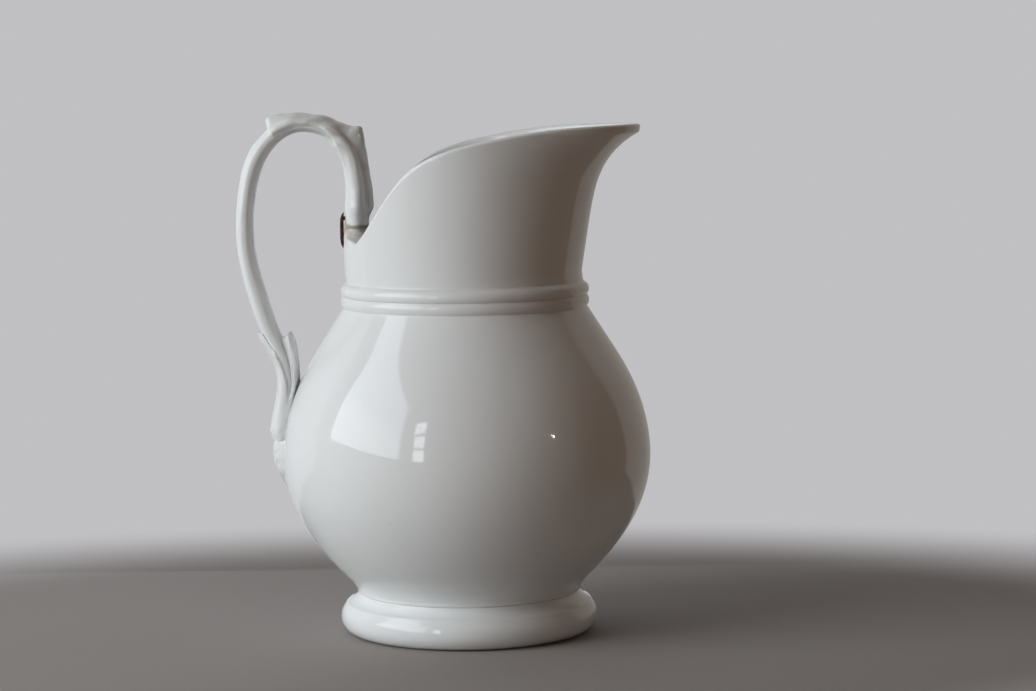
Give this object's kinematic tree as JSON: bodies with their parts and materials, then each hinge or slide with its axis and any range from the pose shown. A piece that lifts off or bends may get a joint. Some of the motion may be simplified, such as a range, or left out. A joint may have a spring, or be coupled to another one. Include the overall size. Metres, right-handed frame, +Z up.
{
  "type": "pitcher",
  "caption": "White glazed porcelain jug with a spreading foot, round belly, helmet neck with a flared pouring lip and a high leaf-moulded scroll handle mended with an iron staple.",
  "frame": {"origin": "centre of the foot ring, on the surface the jug stands on", "axes": "+Z up, +X towards the pouring lip, -X towards the handle, +Y to the jug's left seen from the handle"},
  "size_m": [0.1691, 0.1512, 0.214],
  "materials": {
    "glazed_porcelain": "clear glossy glaze over a slightly cool white body",
    "old_cement": "matt olive-brown filler, stained",
    "rusted_iron": "dark, matt, lightly rusted"
  },
  "bodies": {
    "root": {"foot": "glazed_porcelain", "belly": "glazed_porcelain", "neck": "glazed_porcelain", "handle_root": "glazed_porcelain", "handle_strap": "glazed_porcelain", "handle_upper_leaf": "glazed_porcelain", "handle_lower_leaf": "glazed_porcelain", "handle_tail_leaf": "glazed_porcelain", "repair_cement": "old_cement", "repair_staple": "rusted_iron"}
  },
  "joints": []
}
